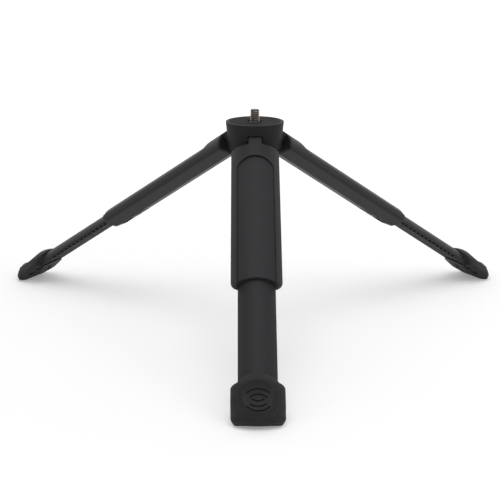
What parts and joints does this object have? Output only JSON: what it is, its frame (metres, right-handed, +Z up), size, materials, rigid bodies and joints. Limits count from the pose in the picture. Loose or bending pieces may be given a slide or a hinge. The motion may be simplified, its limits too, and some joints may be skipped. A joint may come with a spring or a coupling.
{
  "type": "tabletop tripod stand",
  "caption": "Small black folding tabletop tripod with telescoping legs, rounded feet and a threaded steel stud for a microphone clip.",
  "frame": {"origin": "centre of the seat, where the stud leaves the pad's top face, with the legs standing open", "axes": "+Z up along the stud; -Y along the ground under the front leg; +X to the right seen from the front leg"},
  "size_m": [0.3478, 0.3053, 0.1411],
  "materials": {
    "leg_plastic": "fine moulded texture",
    "hub_plastic": "fine moulded texture",
    "foot_plastic": "soft matt moulding",
    "foot_rubber": "matt",
    "pad_rubber": "matt with slanting ribs",
    "latch_plastic": "smooth",
    "washer_plastic": "smooth",
    "stud_steel": "polished thread",
    "pin_steel": "plain",
    "screw_steel": "blackened"
  },
  "bodies": {
    "hub": {"hub_body": "hub_plastic", "top_pad": "pad_rubber", "mount_stud": "stud_steel", "hub_cap": "hub_plastic", "hub_screws": "screw_steel", "hinge_pin_front": "pin_steel", "hinge_washers_front": "washer_plastic", "hinge_pin_right": "pin_steel", "hinge_washers_right": "washer_plastic", "hinge_pin_left": "pin_steel", "hinge_washers_left": "washer_plastic"},
    "sleeve_front": {"leg_sleeve_front": "leg_plastic", "latch_pin_front": "pin_steel", "latch_spring_front": "pin_steel"},
    "inner_front": {"inner_leg_front": "leg_plastic", "foot_cap_front": "foot_plastic", "foot_pad_front": "foot_rubber", "foot_screw_front": "screw_steel"},
    "latch_front": {"latch_lever_front": "latch_plastic"},
    "sleeve_right": {"leg_sleeve_right": "leg_plastic", "latch_pin_right": "pin_steel", "latch_spring_right": "pin_steel"},
    "inner_right": {"inner_leg_right": "leg_plastic", "foot_cap_right": "foot_plastic", "foot_pad_right": "foot_rubber", "foot_screw_right": "screw_steel"},
    "latch_right": {"latch_lever_right": "latch_plastic"},
    "sleeve_left": {"leg_sleeve_left": "leg_plastic", "latch_pin_left": "pin_steel", "latch_spring_left": "pin_steel"},
    "inner_left": {"inner_leg_left": "leg_plastic", "foot_cap_left": "foot_plastic", "foot_pad_left": "foot_rubber", "foot_screw_left": "screw_steel"},
    "latch_left": {"latch_lever_left": "latch_plastic"}
  },
  "joints": [
    {"name": "fold_front", "type": "hinge", "parent": "hub", "child": "sleeve_front", "pos_m": [0, -0.011, -0.01135], "axis": [1, 0, 0], "range_deg": [0, 56.8]},
    {"name": "extend_front", "type": "slide", "parent": "sleeve_front", "child": "inner_front", "axis": [0, 0.8368, 0.5476], "range_m": [0, 0.054]},
    {"name": "latch_front", "type": "hinge", "parent": "sleeve_front", "child": "latch_front", "pos_m": [0, -0.09736, -0.07479], "axis": [1, 0, 0], "range_deg": [0, 7], "stiffness_Nm_per_rad": 0.15, "springref_deg": -5.73, "deforming": ["latch_spring_front"]},
    {"name": "fold_right", "type": "hinge", "parent": "hub", "child": "sleeve_right", "pos_m": [0.00953, 0.0055, -0.01135], "axis": [-0.5, 0.866, 0], "range_deg": [0, 56.8]},
    {"name": "extend_right", "type": "slide", "parent": "sleeve_right", "child": "inner_right", "axis": [-0.7247, -0.4184, 0.5476], "range_m": [0, 0.054]},
    {"name": "latch_right", "type": "hinge", "parent": "sleeve_right", "child": "latch_right", "pos_m": [0.08431, 0.04868, -0.07479], "axis": [-0.5, 0.866, 0], "range_deg": [0, 7], "stiffness_Nm_per_rad": 0.15, "springref_deg": -5.73, "deforming": ["latch_spring_right"]},
    {"name": "fold_left", "type": "hinge", "parent": "hub", "child": "sleeve_left", "pos_m": [-0.00953, 0.0055, -0.01135], "axis": [-0.5, -0.866, 0], "range_deg": [0, 56.8]},
    {"name": "extend_left", "type": "slide", "parent": "sleeve_left", "child": "inner_left", "axis": [0.7247, -0.4184, 0.5476], "range_m": [0, 0.054]},
    {"name": "latch_left", "type": "hinge", "parent": "sleeve_left", "child": "latch_left", "pos_m": [-0.08431, 0.04868, -0.07479], "axis": [-0.5, -0.866, 0], "range_deg": [0, 7], "stiffness_Nm_per_rad": 0.15, "springref_deg": -5.73, "deforming": ["latch_spring_left"]}
  ]
}
